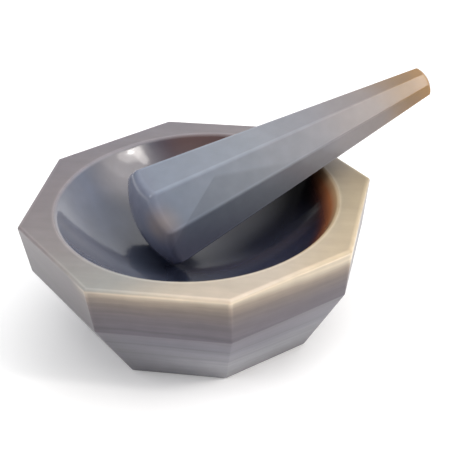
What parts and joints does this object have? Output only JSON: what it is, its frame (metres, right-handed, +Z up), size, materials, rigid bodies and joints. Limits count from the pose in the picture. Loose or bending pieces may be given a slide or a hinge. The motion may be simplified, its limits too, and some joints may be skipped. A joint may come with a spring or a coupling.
{
  "type": "mortar and pestle",
  "caption": "Banded agate laboratory mortar with an octagonal tapered body and a round polished bowl, with a loose faceted pestle leaning in it.",
  "frame": {"origin": "middle of the mortar's flat base, on the surface that it stands on", "axes": "+Z up, out of the bowl; +X and +Y square to two of the mortar's side faces; the pestle leans up towards the corner between +X and +Y"},
  "size_m": [0.109, 0.0953, 0.0603],
  "materials": {
    "mortar_agate": "polished banded agate, cream and mauve-grey bands outside, dark blue-grey inside the bowl",
    "pestle_agate": "polished agate, blue-grey at the wide grinding end turning tan at the tip"
  },
  "bodies": {
    "mortar": {"mortar": "mortar_agate"},
    "pestle": {"pestle": "pestle_agate"}
  },
  "joints": [
    {"name": "pestle_lift", "type": "slide", "parent": "mortar", "child": "pestle", "axis": [0, 0, 1], "range_m": [0, 0.06]}
  ]
}
